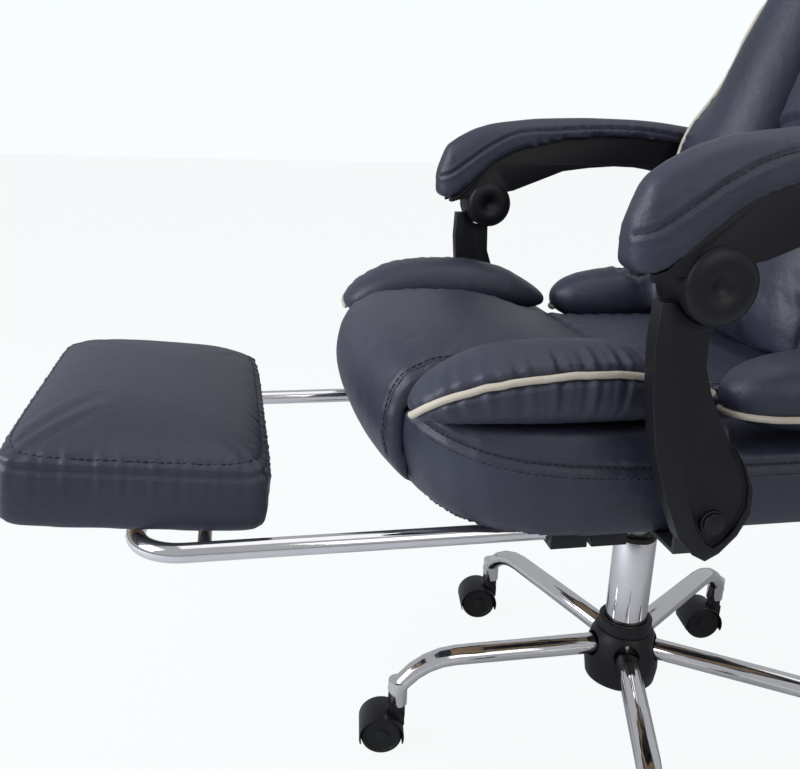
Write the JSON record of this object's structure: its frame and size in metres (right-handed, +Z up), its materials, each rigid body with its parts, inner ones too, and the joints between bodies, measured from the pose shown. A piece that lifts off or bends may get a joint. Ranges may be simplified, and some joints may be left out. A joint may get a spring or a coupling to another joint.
{
  "type": "reclining office chair with footrest",
  "caption": "Padded office chair with linked armrests, a reclining backrest, a pull-out footrest and a star base on casters.",
  "frame": {"origin": "on the swivel axis at floor level, where the caster treads rest", "axes": "+Z up, the chair faces -Y, +X is the sitter's left"},
  "size_m": [0.64, 1.0437, 1.1453],
  "materials": {
    "black_leather": "smooth bonded leather with a soft sheen",
    "cream_piping": "matte covered cord",
    "black_plastic": "satin moulded nylon",
    "chrome": "polished",
    "steel": "zinc plated",
    "black_steel": "black powder coat",
    "plywood": "unfinished plywood"
  },
  "bodies": {
    "base": {"base_hub": "steel", "hub_cover": "black_plastic", "base_leg_1": "chrome", "base_leg_2": "chrome", "base_leg_3": "chrome", "base_leg_4": "chrome", "base_leg_5": "chrome", "column_tube": "chrome", "column_bush": "black_plastic"},
    "piston": {"piston_rod": "steel", "thrust_bearing": "steel", "retaining_clip": "steel"},
    "lift": {"lift_cylinder": "steel", "tilt_housing": "black_steel", "tilt_pin": "steel", "tilt_spring": "steel"},
    "tension_knob": {"tension_knob": "black_plastic"},
    "height_lever": {"height_lever": "black_steel"},
    "release_button": {"release_button": "steel"},
    "seat": {"seat_plate": "black_steel", "seat_board": "plywood", "seat_boxing": "black_leather", "seat_centre": "black_leather", "side_pillow_left": "black_leather", "side_pillow_right": "black_leather", "seat_piping_left": "cream_piping", "seat_piping_right": "cream_piping", "rail_guides": "black_plastic", "seat_brackets": "black_steel", "strut_bolts": "black_plastic"},
    "footrest_frame": {"footrest_tube": "chrome", "footrest_rod": "chrome"},
    "footrest_pad": {"footrest_board": "plywood", "footrest_saddles": "black_plastic", "footrest_cushion": "black_leather"},
    "backrest": {"back_board": "plywood", "back_brackets": "black_steel", "back_cover": "black_leather", "back_centre": "black_leather", "back_wing_left": "black_leather", "back_wing_right": "black_leather", "back_piping": "cream_piping"},
    "strut_left": {"arm_strut_left": "black_plastic"},
    "strut_right": {"arm_strut_right": "black_plastic"},
    "arm_left": {"arm_body_left": "black_plastic", "arm_pad_left": "black_leather"},
    "arm_right": {"arm_body_right": "black_plastic", "arm_pad_right": "black_leather"},
    "recline_lever": {"recline_lever": "black_steel"},
    "caster_1": {"caster_hood_1": "black_plastic"},
    "wheels_1": {"caster_wheels_1": "black_plastic"},
    "caster_2": {"caster_hood_2": "black_plastic"},
    "wheels_2": {"caster_wheels_2": "black_plastic"},
    "caster_3": {"caster_hood_3": "black_plastic"},
    "wheels_3": {"caster_wheels_3": "black_plastic"},
    "caster_4": {"caster_hood_4": "black_plastic"},
    "wheels_4": {"caster_wheels_4": "black_plastic"},
    "caster_5": {"caster_hood_5": "black_plastic"},
    "wheels_5": {"caster_wheels_5": "black_plastic"}
  },
  "joints": [
    {"name": "swivel", "type": "hinge", "parent": "base", "child": "piston", "pos_m": [0, 0, 0.07], "axis": [0, 0, 1], "continuous": true},
    {"name": "seat_height", "type": "slide", "parent": "piston", "child": "lift", "axis": [0, 0, 1], "range_m": [-0.03, 0.05]},
    {"name": "tilt", "type": "hinge", "parent": "lift", "child": "seat", "pos_m": [0, -0.042, 0.346], "axis": [-1, 0, 0], "range_deg": [0, 10], "stiffness_Nm_per_rad": 200, "springref_deg": -22.92},
    {"name": "tension_turn", "type": "hinge", "parent": "lift", "child": "tension_knob", "pos_m": [0, -0.084, 0.32], "axis": [0, 0, 1], "continuous": true},
    {"name": "height_pull", "type": "hinge", "parent": "lift", "child": "height_lever", "pos_m": [-0.14, 0.034, 0.35], "axis": [1, 0, 0], "range_deg": [0, 5], "stiffness_Nm_per_rad": 2, "springref_deg": -17.19},
    {"name": "button_press", "type": "slide", "parent": "lift", "child": "release_button", "axis": [0, 0, -1], "range_m": [0, 0.003]},
    {"name": "footrest_slide", "type": "slide", "parent": "seat", "child": "footrest_frame", "axis": [0, 1, 0], "range_m": [0, 0.29]},
    {"name": "pad_flip", "type": "hinge", "parent": "footrest_frame", "child": "footrest_pad", "pos_m": [0, -0.553, 0.3855], "axis": [1, 0, 0], "range_deg": [0, 180]},
    {"name": "recline", "type": "hinge", "parent": "seat", "child": "backrest", "pos_m": [0, 0.214, 0.49104], "axis": [-1, 0, 0], "range_deg": [0, 40]},
    {"name": "strut_turn_left", "type": "hinge", "parent": "seat", "child": "strut_left", "pos_m": [0.294, -0.098, 0.434], "axis": [-1, 0, 0], "range_deg": [0, 40]},
    {"name": "arm_turn_left", "type": "hinge", "parent": "backrest", "child": "arm_left", "pos_m": [0.29, 0.186, 0.682], "axis": [-1, 0, 0], "range_deg": [-40, 0]},
    {"name": "strut_turn_right", "type": "hinge", "parent": "seat", "child": "strut_right", "pos_m": [-0.294, -0.098, 0.434], "axis": [-1, 0, 0], "range_deg": [0, 40]},
    {"name": "arm_turn_right", "type": "hinge", "parent": "backrest", "child": "arm_right", "pos_m": [-0.29, 0.186, 0.682], "axis": [-1, 0, 0], "range_deg": [-40, 0]},
    {"name": "recline_release", "type": "hinge", "parent": "seat", "child": "recline_lever", "pos_m": [-0.265, 0.212, 0.433], "axis": [-1, 0, 0], "range_deg": [0, 15], "stiffness_Nm_per_rad": 2, "springref_deg": -22.92},
    {"name": "caster_swivel_1", "type": "hinge", "parent": "base", "child": "caster_1", "pos_m": [0, -0.285, 0.07], "axis": [0, 0, 1], "continuous": true},
    {"name": "wheel_spin_1", "type": "hinge", "parent": "caster_1", "child": "wheels_1", "pos_m": [-0.00264, -0.30382, 0.025], "axis": [0.9903, -0.1392, 0], "continuous": true},
    {"name": "caster_swivel_2", "type": "hinge", "parent": "base", "child": "caster_2", "pos_m": [0.27105, -0.08807, 0.07], "axis": [0, 0, 1], "continuous": true},
    {"name": "wheel_spin_2", "type": "hinge", "parent": "caster_2", "child": "wheels_2", "pos_m": [0.26841, -0.10688, 0.025], "axis": [0.9903, -0.1392, 0], "continuous": true},
    {"name": "caster_swivel_3", "type": "hinge", "parent": "base", "child": "caster_3", "pos_m": [0.16752, 0.23057, 0.07], "axis": [0, 0, 1], "continuous": true},
    {"name": "wheel_spin_3", "type": "hinge", "parent": "caster_3", "child": "wheels_3", "pos_m": [0.16487, 0.21175, 0.025], "axis": [0.9903, -0.1392, 0], "continuous": true},
    {"name": "caster_swivel_4", "type": "hinge", "parent": "base", "child": "caster_4", "pos_m": [-0.16752, 0.23057, 0.07], "axis": [0, 0, 1], "continuous": true},
    {"name": "wheel_spin_4", "type": "hinge", "parent": "caster_4", "child": "wheels_4", "pos_m": [-0.17016, 0.21175, 0.025], "axis": [0.9903, -0.1392, 0], "continuous": true},
    {"name": "caster_swivel_5", "type": "hinge", "parent": "base", "child": "caster_5", "pos_m": [-0.27105, -0.08807, 0.07], "axis": [0, 0, 1], "continuous": true},
    {"name": "wheel_spin_5", "type": "hinge", "parent": "caster_5", "child": "wheels_5", "pos_m": [-0.2737, -0.10688, 0.025], "axis": [0.9903, -0.1392, 0], "continuous": true}
  ],
  "couplings": [
    {"joint": "button_press", "follows": "height_pull", "m_per_rad": 0.034},
    {"joint": "pad_flip", "follows": "footrest_slide", "rad_per_m": 10.833},
    {"joint": "strut_turn_left", "follows": "recline", "ratio": 1},
    {"joint": "strut_turn_right", "follows": "recline", "ratio": 1},
    {"joint": "arm_turn_left", "follows": "recline", "ratio": -1},
    {"joint": "arm_turn_right", "follows": "recline", "ratio": -1}
  ]
}
